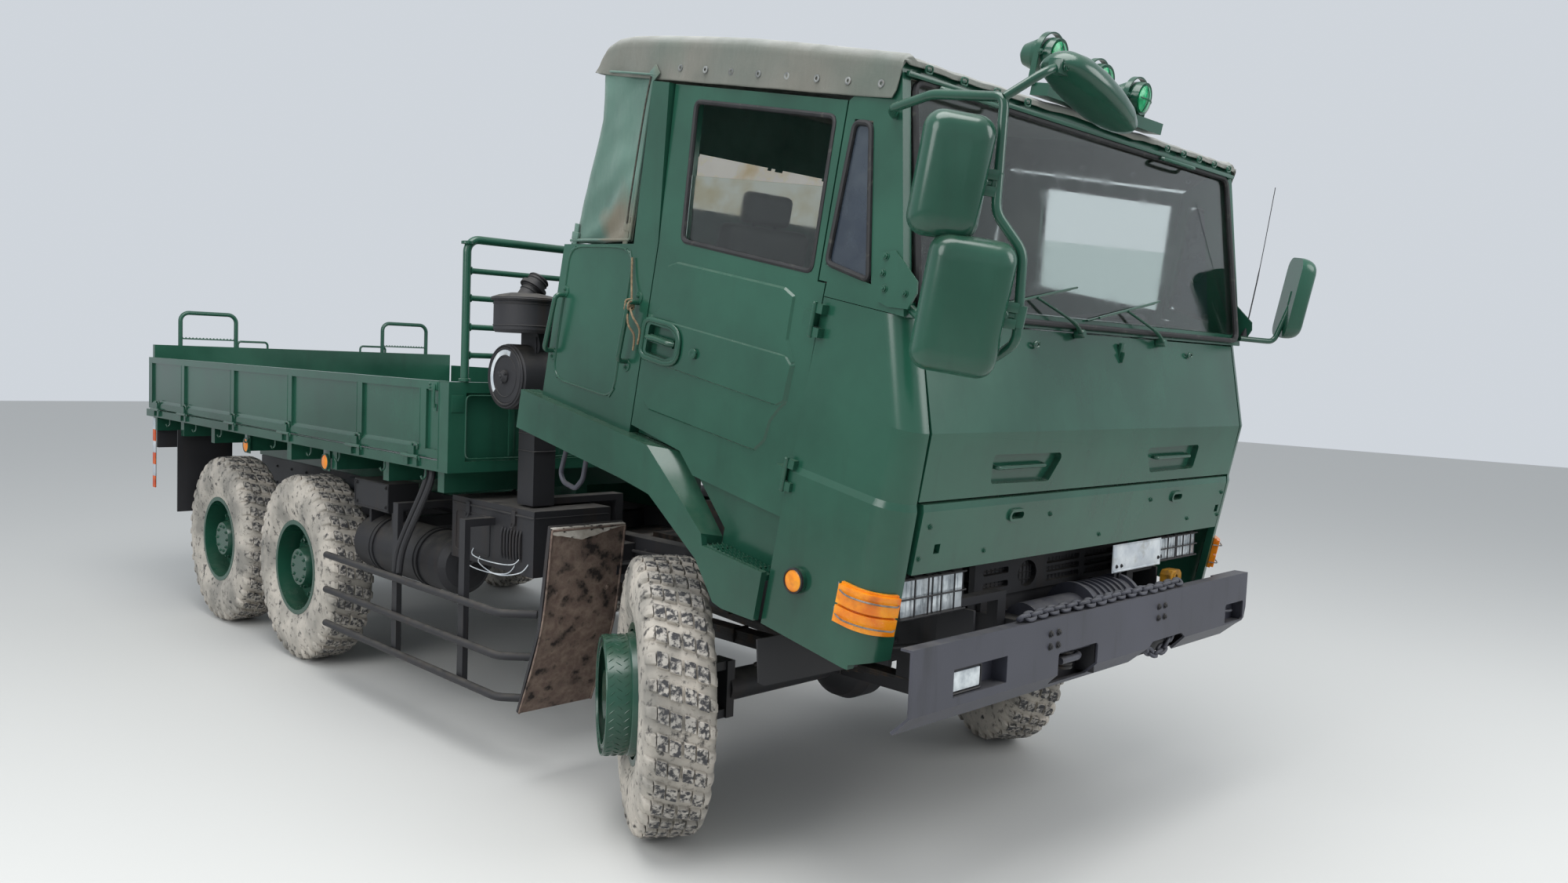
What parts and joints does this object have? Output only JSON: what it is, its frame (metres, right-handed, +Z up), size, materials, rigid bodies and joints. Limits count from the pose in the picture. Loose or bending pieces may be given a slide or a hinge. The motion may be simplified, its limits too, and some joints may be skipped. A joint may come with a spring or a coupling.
{
  "type": "military cargo truck",
  "caption": "Six-wheel military cargo truck with a forward-tilted soft-top cab, steered front wheels, a front winch and a drop-side bed with a tube rack.",
  "frame": {"origin": "on the ground below the middle of the truck's bounding box at rest", "axes": "+Z up, +Y along the truck towards the tailgate, so the front faces -Y, and -X on the truck's right side, the steering wheel being on +X"},
  "size_m": [2.9012, 7.5308, 3.0794],
  "materials": {
    "green_paint": "gloss dark green enamel",
    "grey_paint": "satin dark grey chassis paint",
    "black_paint": "satin black",
    "glass": "clear safety glass",
    "tyre": "dusty black rubber",
    "canvas": "faded olive grey canvas",
    "amber_plastic": "translucent amber lens",
    "lamp_plastic": "clear ribbed lens",
    "black_plastic": "moulded black",
    "seat_vinyl": "black vinyl",
    "cast_steel": "oily cast steel"
  },
  "bodies": {
    "chassis": {"frame_rails": "grey_paint", "bumper": "grey_paint", "winch": "grey_paint", "winch_chain": "grey_paint", "powertrain": "cast_steel", "radiator": "black_paint", "front_axle": "cast_steel", "rear_axles": "cast_steel", "springs": "black_paint", "tanks": "green_paint", "exhaust": "grey_paint", "battery_box": "green_paint", "side_guards": "black_paint", "mudguards": "black_paint", "air_intake": "black_paint", "grille": "grey_paint", "headlamps": "lamp_plastic", "bed_floor": "green_paint", "bed_bearers": "green_paint", "bulkhead": "green_paint", "rear_lamps": "lamp_plastic"},
    "cab": {"cab_floor": "green_paint", "side_panels": "green_paint", "rear_wall": "green_paint", "fenders": "green_paint", "corner_panels": "green_paint", "front_panel": "green_paint", "lower_panel": "green_paint", "windscreen_frame": "green_paint", "cab_glass": "glass", "canopy": "canvas", "dashboard": "black_plastic", "steering_wheel": "black_plastic", "seats": "seat_vinyl", "indicators": "amber_plastic", "mirrors": "grey_paint", "light_bar": "grey_paint", "grab_handles": "green_paint"},
    "right_door": {"door_right": "green_paint", "door_glass_right": "glass"},
    "left_door": {"door_left": "green_paint", "door_glass_left": "glass"},
    "right_knuckle": {"knuckle_right": "cast_steel"},
    "left_knuckle": {"knuckle_left": "cast_steel"},
    "track_rod": {"tie_rod": "cast_steel"},
    "right_board": {"side_board_right": "green_paint"},
    "left_board": {"side_board_left": "green_paint"},
    "gate": {"tailgate": "green_paint"},
    "wheel_front_right": {"tyre_front_right": "tyre", "rim_front_right": "green_paint"},
    "wheel_front_left": {"tyre_front_left": "tyre", "rim_front_left": "green_paint"},
    "wheel_middle_right": {"tyre_middle_right": "tyre", "rim_middle_right": "green_paint"},
    "wheel_middle_left": {"tyre_middle_left": "tyre", "rim_middle_left": "green_paint"},
    "wheel_rear_right": {"tyre_rear_right": "tyre", "rim_rear_right": "green_paint"},
    "wheel_rear_left": {"tyre_rear_left": "tyre", "rim_rear_left": "green_paint"}
  },
  "joints": [
    {"name": "cab_tilt", "type": "hinge", "parent": "chassis", "child": "cab", "pos_m": [0.01097, -2.89559, 1.04], "axis": [1, 0, 0], "range_deg": [-11, 29]},
    {"name": "right_door_hinge", "type": "hinge", "parent": "cab", "child": "right_door", "pos_m": [-1.19104, -2.8036, 1.73023], "axis": [0, -0.1908, 0.9816], "range_deg": [0, 70]},
    {"name": "left_door_hinge", "type": "hinge", "parent": "cab", "child": "left_door", "pos_m": [1.21297, -2.8036, 1.73023], "axis": [0, -0.1908, 0.9816], "range_deg": [-70, 0]},
    {"name": "right_steer", "type": "hinge", "parent": "chassis", "child": "right_knuckle", "pos_m": [-0.88904, -2.03559, 0.542], "axis": [0, 0, 1], "range_deg": [-4, 66]},
    {"name": "left_steer", "type": "hinge", "parent": "chassis", "child": "left_knuckle", "pos_m": [0.91097, -2.03559, 0.542], "axis": [0, 0, 1], "range_deg": [-4, 66]},
    {"name": "track_rod_pivot", "type": "hinge", "parent": "right_knuckle", "child": "track_rod", "pos_m": [-0.76543, -1.82987, 0.474], "axis": [0, 0, 1], "range_deg": [-66, 4]},
    {"name": "front_right_spin", "type": "hinge", "parent": "right_knuckle", "child": "wheel_front_right", "pos_m": [-1.01761, -1.95833, 0.542], "axis": [0.8572, -0.515, 0], "continuous": true},
    {"name": "front_left_spin", "type": "hinge", "parent": "left_knuckle", "child": "wheel_front_left", "pos_m": [1.03954, -2.11284, 0.542], "axis": [0.8572, -0.515, 0], "continuous": true},
    {"name": "middle_right_spin", "type": "hinge", "parent": "chassis", "child": "wheel_middle_right", "pos_m": [-1.00303, 1.30441, 0.542], "axis": [1, 0, 0], "continuous": true},
    {"name": "middle_left_spin", "type": "hinge", "parent": "chassis", "child": "wheel_middle_left", "pos_m": [1.02496, 1.30441, 0.542], "axis": [1, 0, 0], "continuous": true},
    {"name": "rear_right_spin", "type": "hinge", "parent": "chassis", "child": "wheel_rear_right", "pos_m": [-1.00303, 2.52441, 0.542], "axis": [1, 0, 0], "continuous": true},
    {"name": "rear_left_spin", "type": "hinge", "parent": "chassis", "child": "wheel_rear_left", "pos_m": [1.02496, 2.52441, 0.542], "axis": [1, 0, 0], "continuous": true},
    {"name": "right_board_hinge", "type": "hinge", "parent": "chassis", "child": "right_board", "pos_m": [-1.21003, 1.60441, 1.334], "axis": [0, 1, 0], "range_deg": [-180, 0]},
    {"name": "left_board_hinge", "type": "hinge", "parent": "chassis", "child": "left_board", "pos_m": [1.23196, 1.60441, 1.334], "axis": [0, 1, 0], "range_deg": [0, 180]},
    {"name": "tailgate_hinge", "type": "hinge", "parent": "chassis", "child": "gate", "pos_m": [0.01097, 3.75741, 1.334], "axis": [1, 0, 0], "range_deg": [-180, 0]}
  ],
  "couplings": [
    {"joint": "left_steer", "follows": "right_steer", "ratio": 1},
    {"joint": "track_rod_pivot", "follows": "right_steer", "ratio": -1}
  ]
}
